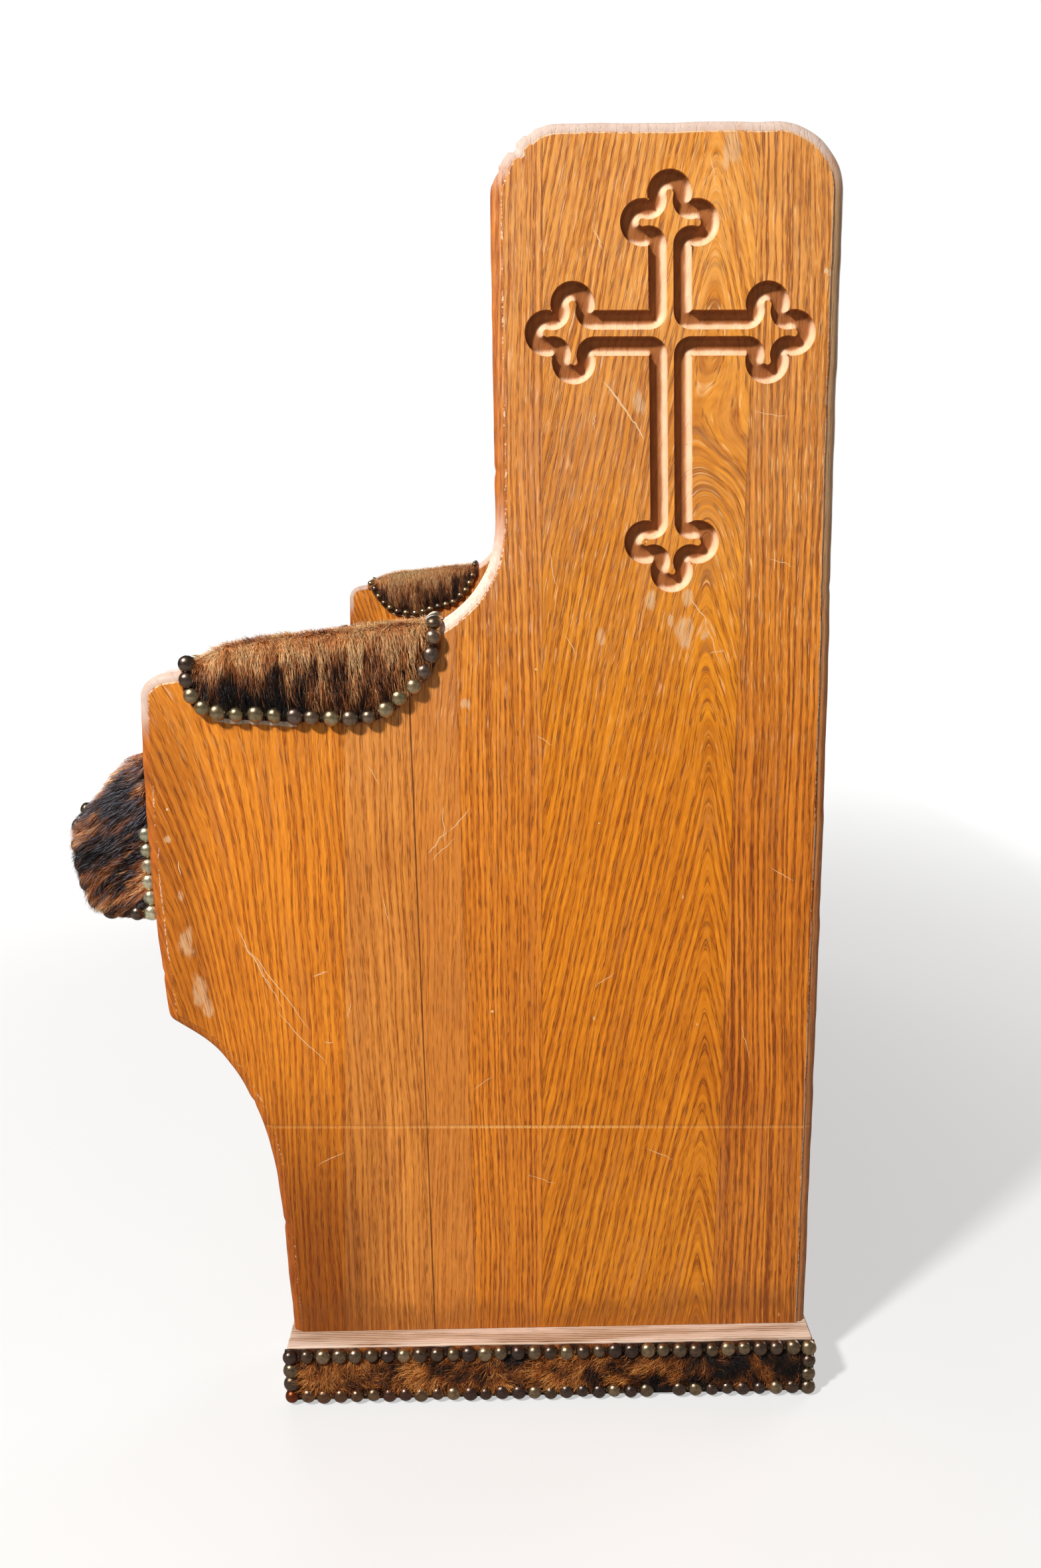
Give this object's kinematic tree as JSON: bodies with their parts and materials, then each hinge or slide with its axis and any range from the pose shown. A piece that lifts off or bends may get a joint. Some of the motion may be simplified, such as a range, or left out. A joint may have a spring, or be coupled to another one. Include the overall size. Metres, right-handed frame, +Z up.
{
  "type": "church pew",
  "caption": "Short upholstered oak church pew: two bench ends with a routed cross, padded arms, hide-covered seat with a rolled nose, leaning board back, nail-trimmed bases.",
  "frame": {"origin": "on the floor, under the middle of the pew's bounding box", "axes": "+X along the bench, -Y towards the sitter's side (front), +Z up"},
  "size_m": [1.269, 0.5592, 0.9155],
  "materials": {
    "oak_varnished": "honey-orange satin varnish over oak, vertical staves",
    "oak_base": "worn, sun-bleached oak",
    "nailhead": "antique bronze nailhead trim, every fifth head brighter brass",
    "cowhide": "hair-on brindle cowhide, tan with black streaks",
    "foam": "upholstery foam",
    "steel": "zinc plated",
    "beech": "raw beech dowel",
    "plywood": "raw plywood",
    "pine": "raw pine framing"
  },
  "bodies": {
    "root": {"arm_foam_left": "foam", "arm_foam_right": "foam", "arm_hide_left": "cowhide", "arm_hide_right": "cowhide", "arm_nail_trim_left_front": "nailhead", "arm_nail_trim_left_inner": "nailhead", "arm_nail_trim_left_outer": "nailhead", "arm_nail_trim_left_rear": "nailhead", "arm_nail_trim_right_front": "nailhead", "arm_nail_trim_right_inner": "nailhead", "arm_nail_trim_right_outer": "nailhead", "arm_nail_trim_right_rear": "nailhead", "back_board_1": "oak_varnished", "back_board_2": "oak_varnished", "back_board_3": "oak_varnished", "back_board_4": "oak_varnished", "back_bottom_rail": "oak_varnished", "back_cleat_left": "pine", "back_cleat_right": "pine", "back_screw_left_lower": "steel", "back_screw_left_upper": "steel", "back_screw_right_lower": "steel", "back_screw_right_upper": "steel", "back_top_rail": "oak_varnished", "dowel_left_front": "beech", "dowel_left_rear": "beech", "dowel_right_front": "beech", "dowel_right_rear": "beech", "end_panel_left": "oak_varnished", "end_panel_right": "oak_varnished", "glue_block_left": "pine", "glue_block_right": "pine", "nose_nail_trim_end_left": "nailhead", "nose_nail_trim_end_right": "nailhead", "nose_nail_trim_front_left": "nailhead", "nose_nail_trim_front_right": "nailhead", "plinth_hide_left": "cowhide", "plinth_hide_right": "cowhide", "plinth_left": "oak_base", "plinth_nail_trim_left": "nailhead", "plinth_nail_trim_right": "nailhead", "plinth_right": "oak_base", "seat_board": "plywood", "seat_cleat_left": "pine", "seat_cleat_right": "pine", "seat_foam": "foam", "seat_front_rail": "pine", "seat_hide": "cowhide", "seat_middle_brace": "pine", "seat_rear_rail": "pine", "seat_screw_left_front": "steel", "seat_screw_left_rear": "steel", "seat_screw_right_front": "steel", "seat_screw_right_rear": "steel"}
  },
  "joints": []
}
